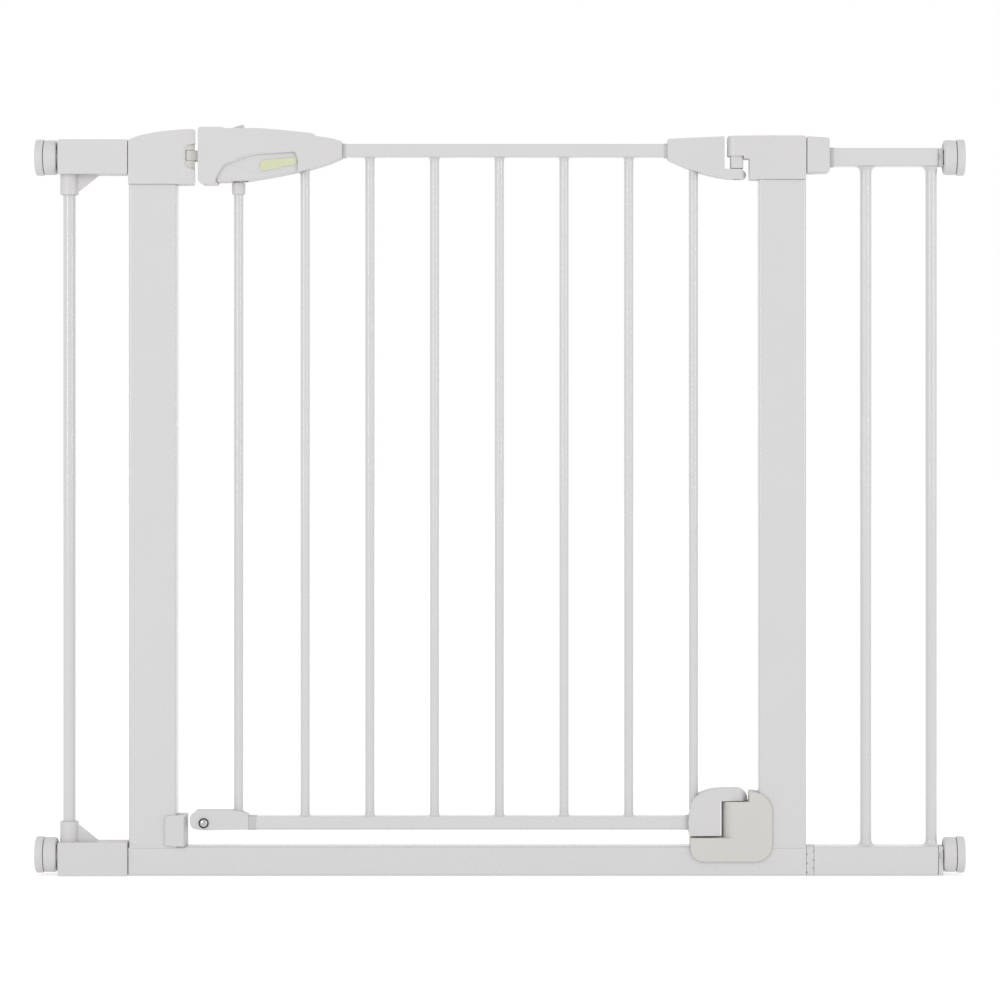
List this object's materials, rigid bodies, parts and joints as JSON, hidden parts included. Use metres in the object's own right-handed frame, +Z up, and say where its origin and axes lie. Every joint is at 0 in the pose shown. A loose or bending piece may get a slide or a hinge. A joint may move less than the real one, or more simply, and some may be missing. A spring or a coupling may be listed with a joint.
{
  "type": "safety gate",
  "caption": "Pressure-mounted safety gate: a U-shaped tube frame with a barred swing door, a lift-lever latch handle, side extensions and screw-out wall cups at its corners.",
  "frame": {"origin": "on the floor, midway between the two wall faces and midway through the gate's thickness", "axes": "+X to the right along the gate, -Y to the front, towards which the door swings, +Z up"},
  "size_m": [0.946, 0.037, 0.7643],
  "materials": {
    "white_paint": "satin powder coat",
    "white_plastic": "satin moulded",
    "ivory_plastic": "fine matt moulded",
    "glow_plastic": "matt, pale yellow-green",
    "chrome": "polished",
    "zinc_steel": "zinc plated",
    "rubber": "matt"
  },
  "bodies": {
    "frame": {"frame_bottom_rail": "white_paint", "latch_post": "white_paint", "hinge_post": "white_paint", "latch_post_cap": "white_plastic", "hinge_post_cap": "white_plastic", "upper_hinge_pin": "zinc_steel", "lower_hinge_pin": "zinc_steel", "closer_spring": "zinc_steel", "catch_bracket": "white_plastic", "hinge_bracket": "ivory_plastic", "left_ext_top_block": "white_plastic", "left_ext_bottom_block": "white_plastic", "left_ext_tube": "white_paint", "right_ext_top_rail": "white_paint", "right_ext_bottom_rail": "white_paint", "right_ext_bar_inner": "white_paint", "right_ext_bar_outer": "white_paint", "ext_collar": "white_plastic", "ext_clip": "white_plastic", "right_top_plug": "white_plastic", "right_bottom_plug": "white_plastic"},
    "door": {"door_top_rail": "white_paint", "door_bottom_rail": "white_paint", "door_bar_1": "white_paint", "door_bar_2": "white_paint", "door_bar_3": "white_paint", "door_bar_4": "white_paint", "door_bar_5": "white_paint", "door_bar_6": "white_paint", "door_bar_7": "white_paint", "door_bar_8": "white_paint", "bar_collar": "white_plastic", "handle_front_shell": "white_plastic", "handle_rear_shell": "white_plastic", "lever_pivot_pin": "zinc_steel", "bolt_spring": "zinc_steel", "upper_hinge_arm": "white_plastic", "lower_hinge_arm": "white_plastic", "lower_latch_block": "white_plastic", "block_rivet": "chrome"},
    "lever": {"lift_lever": "white_plastic", "glow_strip": "glow_plastic"},
    "bolt": {"latch_bolt": "ivory_plastic"},
    "lock": {"lock_button": "white_plastic"},
    "wheel_left_top": {"adjuster_wheel_left_top": "white_plastic"},
    "spindle_left_top": {"spindle_left_top": "zinc_steel", "wall_cup_left_top": "white_plastic", "wall_pad_left_top": "rubber"},
    "wheel_left_bottom": {"adjuster_wheel_left_bottom": "white_plastic"},
    "spindle_left_bottom": {"spindle_left_bottom": "zinc_steel", "wall_cup_left_bottom": "white_plastic", "wall_pad_left_bottom": "rubber"},
    "wheel_right_top": {"adjuster_wheel_right_top": "white_plastic"},
    "spindle_right_top": {"spindle_right_top": "zinc_steel", "wall_cup_right_top": "white_plastic", "wall_pad_right_top": "rubber"},
    "wheel_right_bottom": {"adjuster_wheel_right_bottom": "white_plastic"},
    "spindle_right_bottom": {"spindle_right_bottom": "zinc_steel", "wall_cup_right_bottom": "white_plastic", "wall_pad_right_bottom": "rubber"}
  },
  "joints": [
    {"name": "door_swing", "type": "hinge", "parent": "frame", "child": "door", "pos_m": [0.241, 0, 0.4], "axis": [0, 0, 1], "range_deg": [0, 90], "stiffness_Nm_per_rad": 1},
    {"name": "lever_lift", "type": "hinge", "parent": "door", "child": "lever", "pos_m": [-0.212, 0, 0.741], "axis": [0, 1, 0], "range_deg": [0, 8]},
    {"name": "bolt_slide", "type": "slide", "parent": "door", "child": "bolt", "axis": [1, 0, 0], "range_m": [0, 0.0127], "stiffness_N_per_m": 150, "springref_m": -0.005, "deforming": ["bolt_spring"]},
    {"name": "lock_slide", "type": "slide", "parent": "door", "child": "lock", "axis": [-1, 0, 0], "range_m": [0, 0.009], "stiffness_N_per_m": 100, "springref_m": -0.003},
    {"name": "spindle_slide_left_top", "type": "slide", "parent": "frame", "child": "spindle_left_top", "axis": [-1, 0, 0], "range_m": [0, 0.025]},
    {"name": "wheel_turn_left_top", "type": "hinge", "parent": "frame", "child": "wheel_left_top", "pos_m": [-0.4574, 0, 0.7312], "axis": [-1, 0, 0], "range_deg": [0, 3610]},
    {"name": "spindle_slide_left_bottom", "type": "slide", "parent": "frame", "child": "spindle_left_bottom", "axis": [-1, 0, 0], "range_m": [0, 0.025]},
    {"name": "wheel_turn_left_bottom", "type": "hinge", "parent": "frame", "child": "wheel_left_bottom", "pos_m": [-0.4574, 0, 0.0207], "axis": [-1, 0, 0], "range_deg": [0, 3610]},
    {"name": "spindle_slide_right_top", "type": "slide", "parent": "frame", "child": "spindle_right_top", "axis": [1, 0, 0], "range_m": [0, 0.025]},
    {"name": "wheel_turn_right_top", "type": "hinge", "parent": "frame", "child": "wheel_right_top", "pos_m": [0.4574, 0, 0.7312], "axis": [1, 0, 0], "range_deg": [0, 3610]},
    {"name": "spindle_slide_right_bottom", "type": "slide", "parent": "frame", "child": "spindle_right_bottom", "axis": [1, 0, 0], "range_m": [0, 0.025]},
    {"name": "wheel_turn_right_bottom", "type": "hinge", "parent": "frame", "child": "wheel_right_bottom", "pos_m": [0.4574, 0, 0.0207], "axis": [1, 0, 0], "range_deg": [0, 3610]}
  ],
  "couplings": [
    {"joint": "bolt_slide", "follows": "lever_lift", "m_per_rad": 0.09024},
    {"joint": "wheel_turn_left_top", "follows": "spindle_slide_left_top", "rad_per_m": 2513.3},
    {"joint": "wheel_turn_left_bottom", "follows": "spindle_slide_left_bottom", "rad_per_m": 2513.3},
    {"joint": "wheel_turn_right_top", "follows": "spindle_slide_right_top", "rad_per_m": 2513.3},
    {"joint": "wheel_turn_right_bottom", "follows": "spindle_slide_right_bottom", "rad_per_m": 2513.3}
  ]
}
